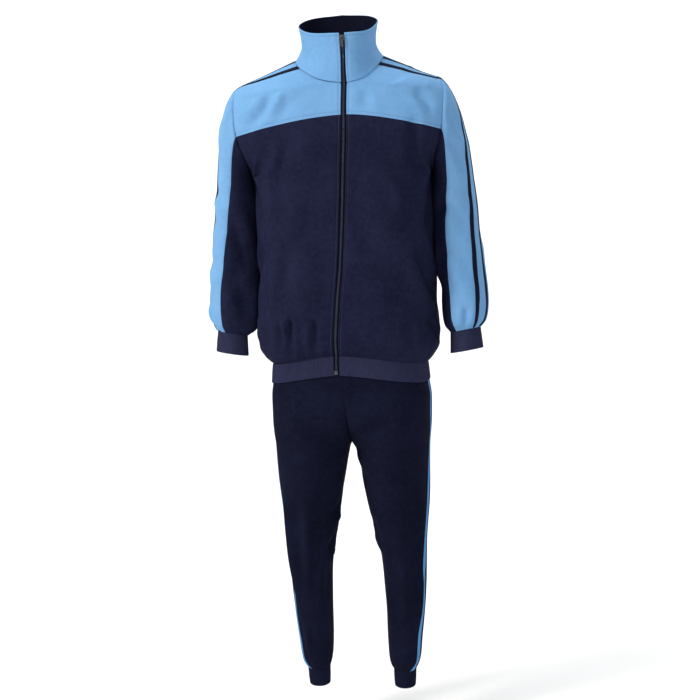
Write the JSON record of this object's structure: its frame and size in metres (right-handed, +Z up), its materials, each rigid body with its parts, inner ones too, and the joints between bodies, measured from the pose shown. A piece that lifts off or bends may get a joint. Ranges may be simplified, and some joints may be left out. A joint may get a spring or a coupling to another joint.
{
  "type": "tracksuit",
  "caption": "Worn tracksuit: zipped jacket with a stand collar, light yokes and sleeves with dark stripes, over dark trousers with light side stripes; hollow, with rib cuffs.",
  "frame": {"origin": "in the middle of the neck, level with its base, where the wearer's shoulders carry the jacket", "axes": "+Z up, -Y towards the front with the zip, +X towards the wearer's left arm"},
  "size_m": [0.6585, 0.2678, 1.6164],
  "materials": {
    "jersey_navy": "smooth warp-knit jersey, soft satin sheen",
    "jersey_blue": "smooth warp-knit jersey, soft satin sheen",
    "rib_navy": "knitted rib, matte",
    "stripe_navy": "knitted stripe tape, matte",
    "stripe_blue": "knitted stripe tape, matte",
    "zip_tape": "woven polyester tape",
    "zip_metal": "dark antique metal, satin"
  },
  "bodies": {
    "suit": {"front_left": "jersey_navy", "front_right": "jersey_navy", "yoke_front_left": "jersey_blue", "yoke_front_right": "jersey_blue", "back": "jersey_navy", "yoke_back": "jersey_blue", "shoulder_stripe_front_left": "stripe_navy", "shoulder_stripe_front_right": "stripe_navy", "shoulder_stripe_back_left": "stripe_navy", "shoulder_stripe_back_right": "stripe_navy", "sleeve_upper_left": "jersey_blue", "sleeve_upper_right": "jersey_blue", "sleeve_under_left": "jersey_navy", "sleeve_under_right": "jersey_navy", "sleeve_stripe_front_left": "stripe_navy", "sleeve_stripe_front_right": "stripe_navy", "sleeve_stripe_back_left": "stripe_navy", "sleeve_stripe_back_right": "stripe_navy", "cuff_left": "rib_navy", "cuff_right": "rib_navy", "hem_band": "rib_navy", "collar": "jersey_blue", "collar_lining": "jersey_navy", "trouser_front_left": "jersey_navy", "trouser_front_right": "jersey_navy", "trouser_back_left": "jersey_navy", "trouser_back_right": "jersey_navy", "trouser_stripe_front_left": "stripe_blue", "trouser_stripe_front_right": "stripe_blue", "trouser_stripe_back_left": "stripe_blue", "trouser_stripe_back_right": "stripe_blue", "ankle_cuff_left": "rib_navy", "ankle_cuff_right": "rib_navy", "waistband": "rib_navy", "zip_tape_left": "zip_tape", "zip_tape_right": "zip_tape", "zip_chain": "zip_metal", "zip_slider": "zip_metal", "zip_box": "zip_metal"},
    "pull_tab": {"zip_pull_tab": "zip_metal"}
  },
  "joints": [
    {"name": "pull_tab_hinge", "type": "hinge", "parent": "suit", "child": "pull_tab", "pos_m": [0.01925, -0.08879, 0.0365], "axis": [-1, 0, 0], "range_deg": [0, 165]}
  ]
}
